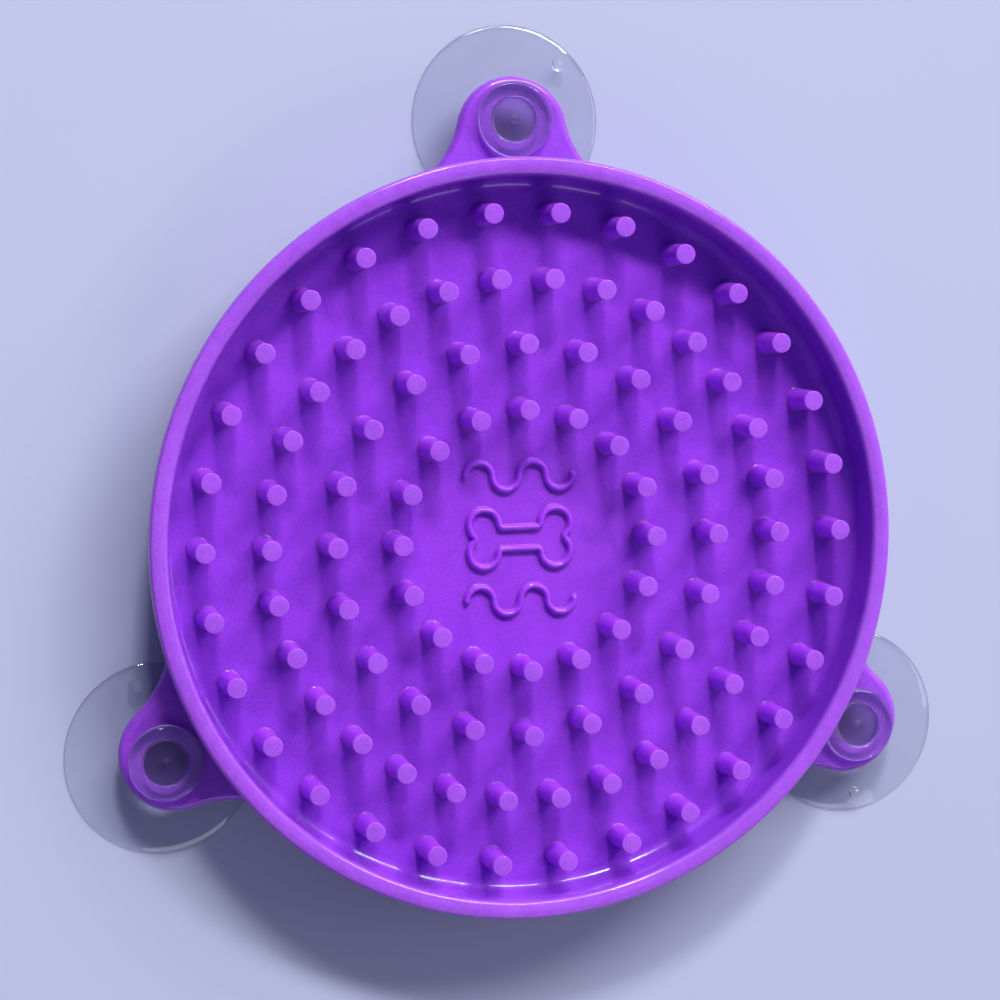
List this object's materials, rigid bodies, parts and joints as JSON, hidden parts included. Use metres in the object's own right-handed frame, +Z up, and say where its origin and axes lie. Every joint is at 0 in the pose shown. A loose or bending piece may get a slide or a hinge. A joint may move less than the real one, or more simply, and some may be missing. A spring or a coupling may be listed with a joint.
{
  "type": "lick mat",
  "caption": "Round soft pet lick mat: a shallow dish with rings of flat-topped pegs and a flat-topped rim, held down by clear suction cups that turn in its ears.",
  "frame": {"origin": "middle of the part's outline seen from above, on the surface that the suction cups hold to; the dish's own axis is 14.4 mm from it along -Y", "axes": "+Z up out of the dish, +Y from the dish's axis towards the ear that stands alone, +X to the right from above"},
  "size_m": [0.1968, 0.192, 0.0185],
  "materials": {
    "silicone": "satin",
    "clear_vinyl": "gloss"
  },
  "bodies": {
    "mat": {"dish": "silicone", "centre_ridges": "silicone", "pegs_inner_ring": "silicone", "pegs_second_ring": "silicone", "pegs_third_ring": "silicone", "pegs_outer_ring": "silicone"},
    "cup_top": {"suction_cup_top": "clear_vinyl"},
    "cup_left": {"suction_cup_left": "clear_vinyl"},
    "cup_right": {"suction_cup_right": "clear_vinyl"}
  },
  "joints": [
    {"name": "cup_top_turn", "type": "hinge", "parent": "mat", "child": "cup_top", "pos_m": [0, 0.0754, 0.0063], "axis": [0, 0, 1], "continuous": true},
    {"name": "cup_left_turn", "type": "hinge", "parent": "mat", "child": "cup_left", "pos_m": [-0.07777, -0.0593, 0.0063], "axis": [0, 0, 1], "continuous": true},
    {"name": "cup_right_turn", "type": "hinge", "parent": "mat", "child": "cup_right", "pos_m": [0.07777, -0.0593, 0.0063], "axis": [0, 0, 1], "continuous": true}
  ]
}
